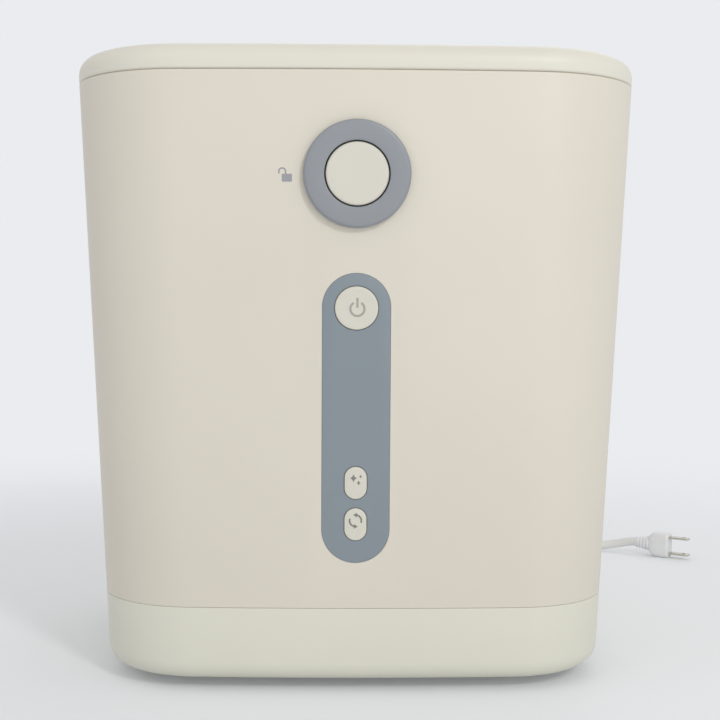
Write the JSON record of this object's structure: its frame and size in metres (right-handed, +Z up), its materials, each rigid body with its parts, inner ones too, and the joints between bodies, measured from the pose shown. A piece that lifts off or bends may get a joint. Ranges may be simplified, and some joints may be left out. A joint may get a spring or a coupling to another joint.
{
  "type": "electric food waste composter",
  "caption": "Worktop food waste composter: rounded cream housing, hinged lid with push release, heated bucket with grinding blades, control strip, rear carbon cassette and mains lead.",
  "frame": {"origin": "on the worktop, under the middle of the box that holds the machine with its hinge and release ring, without its mains lead", "axes": "+Z up, +Y towards the back, +X to the right of someone facing the control strip"},
  "size_m": [0.4257, 0.4199, 0.3329],
  "materials": {
    "cream_casing": "satin moulded cream, fine grain",
    "cream_lid": "satin moulded cream, fine grain",
    "cream_base": "satin moulded cream, a shade greener",
    "cream_button": "smooth cream",
    "grey_ring": "satin metallic grey",
    "grey_strip": "satin metallic blue-grey",
    "dark_plastic": "matt dark grey",
    "grey_plastic": "matt mid grey",
    "light_plastic": "matt light grey",
    "gear_plastic": "natural acetal",
    "well_aluminium": "spun aluminium",
    "bucket_coating": "dark non-stick coating on aluminium",
    "cast_blades": "cast and tumbled",
    "steel": "plain steel",
    "plated_steel": "bright plated",
    "sintered_bronze": "sintered bronze",
    "gearbox_alloy": "die-cast alloy",
    "sleeve_felt": "mineral felt",
    "black_rubber": "matt black rubber",
    "grey_rubber": "matt grey rubber",
    "silicone": "soft silicone",
    "board_green": "coated circuit board",
    "carbon": "carbon granules behind cloth",
    "white_flex": "white cord sheath",
    "white_plug": "white moulded plug"
  },
  "bodies": {
    "housing": {"base_pan": "cream_base", "feet": "grey_rubber", "outer_casing": "cream_casing", "top_deck": "dark_plastic", "well": "well_aluminium", "insulation_sleeve": "sleeve_felt", "heating_ring": "steel", "thermal_cutout": "steel", "gearbox_housing": "gearbox_alloy", "gearbox_cover": "gearbox_alloy", "gearbox_standoffs": "steel", "idler_axles": "steel", "drive_bushes": "sintered_bronze", "motor": "steel", "shaft_seal": "black_rubber", "hinge_pin": "steel", "lid_spring": "steel", "release_ring": "grey_ring", "release_spring": "steel", "latch_pin": "steel", "latch_bracket": "steel", "lid_switch": "dark_plastic", "control_strip": "grey_strip", "control_board": "board_green", "main_board": "board_green", "fan_housing": "light_plastic", "fan_motor": "steel", "air_duct": "light_plastic", "filter_bay": "light_plastic", "case_screws": "plated_steel", "cord_gland": "white_flex", "cord_tube": "white_flex", "cord_coil": "white_flex", "cord_tie": "black_rubber", "mains_plug": "white_plug"},
    "lid": {"lid_shell": "cream_lid", "lid_liner": "grey_plastic", "lid_gasket": "silicone", "lid_catch": "steel"},
    "bucket": {"bucket": "bucket_coating", "bucket_bush": "sintered_bronze", "fixed_blades": "steel", "bail_lugs": "steel"},
    "bail": {"bail": "steel", "bail_grip": "black_rubber"},
    "rotor": {"blade_rotor": "cast_blades", "rotor_shaft": "steel"},
    "drive": {"output_gear": "steel", "drive_shaft": "steel"},
    "idler_2": {"idler_gear_2": "gear_plastic"},
    "idler_1": {"idler_gear_1": "gear_plastic"},
    "motor_rotor": {"motor_pinion": "sintered_bronze"},
    "fan_rotor": {"fan_impeller": "light_plastic"},
    "release_button": {"release_disc": "cream_button"},
    "latch": {"latch_lever": "light_plastic"},
    "power_key": {"power_button": "cream_button"},
    "clean_key": {"clean_button": "cream_button"},
    "speed_key": {"speed_button": "cream_button"},
    "filter": {"filter_frame": "cream_casing", "carbon_block": "carbon"}
  },
  "joints": [
    {"name": "lid_hinge", "type": "hinge", "parent": "housing", "child": "lid", "pos_m": [0, 0.14841, 0.3181], "axis": [-1, 0, 0], "range_deg": [0, 95], "deforming": ["lid_spring"]},
    {"name": "bucket_lift", "type": "slide", "parent": "housing", "child": "bucket", "axis": [0, 0, 1], "range_m": [0, 0.012]},
    {"name": "bail_swing", "type": "hinge", "parent": "bucket", "child": "bail", "pos_m": [0, 0, 0.2832], "axis": [1, 0, 0], "range_deg": [0, 10]},
    {"name": "rotor_spin", "type": "hinge", "parent": "bucket", "child": "rotor", "pos_m": [0, 0, 0.1], "axis": [0, 0, 1], "continuous": true},
    {"name": "drive_spin", "type": "hinge", "parent": "housing", "child": "drive", "pos_m": [0, 0, 0.1], "axis": [0, 0, 1], "continuous": true},
    {"name": "idler_2_spin", "type": "hinge", "parent": "housing", "child": "idler_2", "pos_m": [-0.03086, -0.01854, 0.1], "axis": [0, 0, 1], "continuous": true},
    {"name": "idler_1_spin", "type": "hinge", "parent": "housing", "child": "idler_1", "pos_m": [-0.05684, -0.00354, 0.1], "axis": [0, 0, 1], "continuous": true},
    {"name": "motor_spin", "type": "hinge", "parent": "housing", "child": "motor_rotor", "pos_m": [-0.04334, 0.01984, 0.1], "axis": [0, 0, 1], "continuous": true},
    {"name": "fan_spin", "type": "hinge", "parent": "housing", "child": "fan_rotor", "pos_m": [-0.09932, 0.09132, 0.1], "axis": [0, 0, 1], "continuous": true},
    {"name": "release_press", "type": "slide", "parent": "housing", "child": "release_button", "axis": [0, 0.9989, 0.0476], "range_m": [0, 0.003], "stiffness_N_per_m": 400, "springref_m": -0.002, "deforming": ["release_spring"]},
    {"name": "latch_turn", "type": "hinge", "parent": "housing", "child": "latch", "pos_m": [0, -0.12413, 0.284], "axis": [1, 0, 0], "range_deg": [0, 10.4]},
    {"name": "power_press", "type": "slide", "parent": "housing", "child": "power_key", "axis": [0, 0.9989, 0.0476], "range_m": [0, 0.001], "stiffness_N_per_m": 600, "springref_m": -0.001},
    {"name": "clean_press", "type": "slide", "parent": "housing", "child": "clean_key", "axis": [0, 0.9989, 0.0476], "range_m": [0, 0.001], "stiffness_N_per_m": 600, "springref_m": -0.001},
    {"name": "speed_press", "type": "slide", "parent": "housing", "child": "speed_key", "axis": [0, 0.9989, 0.0476], "range_m": [0, 0.001], "stiffness_N_per_m": 600, "springref_m": -0.001},
    {"name": "filter_pull", "type": "slide", "parent": "housing", "child": "filter", "axis": [0, 0.9989, -0.0476], "range_m": [0, 0.03]}
  ],
  "couplings": [
    {"joint": "rotor_spin", "follows": "drive_spin", "ratio": 1},
    {"joint": "idler_2_spin", "follows": "drive_spin", "ratio": -3},
    {"joint": "idler_1_spin", "follows": "drive_spin", "ratio": 9},
    {"joint": "motor_spin", "follows": "drive_spin", "ratio": -27},
    {"joint": "latch_turn", "follows": "release_press", "rad_per_m": 60}
  ]
}
